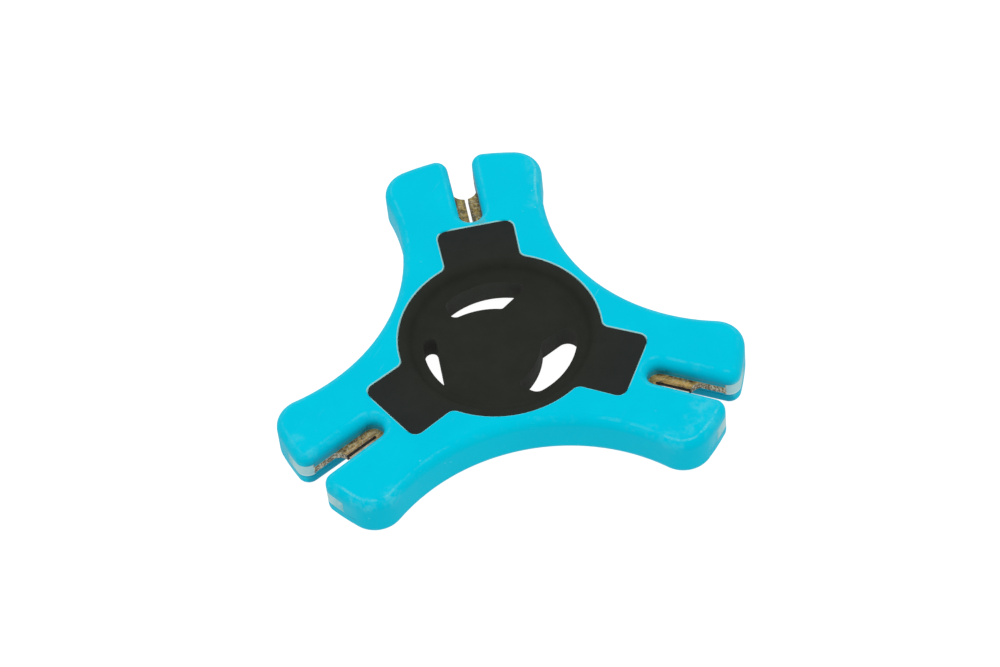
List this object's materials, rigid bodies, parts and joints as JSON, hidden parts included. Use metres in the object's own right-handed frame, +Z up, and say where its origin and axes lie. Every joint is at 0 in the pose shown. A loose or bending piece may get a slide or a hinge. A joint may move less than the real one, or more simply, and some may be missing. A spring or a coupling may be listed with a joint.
{
  "type": "spoke wrench",
  "caption": "Hand wrench for bicycle spoke nipples: cyan plastic shells with slotted arms, a black centre cover and a steel fork in each slot.",
  "frame": {"origin": "hub axis at the bottom face", "axes": "+Z up out of the upper face; +Y along the arm with the large jaw; the other arms at 210 and 330 degrees"},
  "size_m": [0.0696, 0.0622, 0.007],
  "materials": {
    "shell_plastic": "satin",
    "cover_plastic": "matte",
    "jaw_steel": "worn",
    "screw_steel": "zinc"
  },
  "bodies": {
    "root": {"upper_shell": "shell_plastic", "lower_shell": "shell_plastic", "top_cover": "cover_plastic", "bottom_cover": "cover_plastic", "jaw_large": "jaw_steel", "jaw_medium": "jaw_steel", "jaw_small": "jaw_steel", "shell_screws": "screw_steel"}
  },
  "joints": []
}
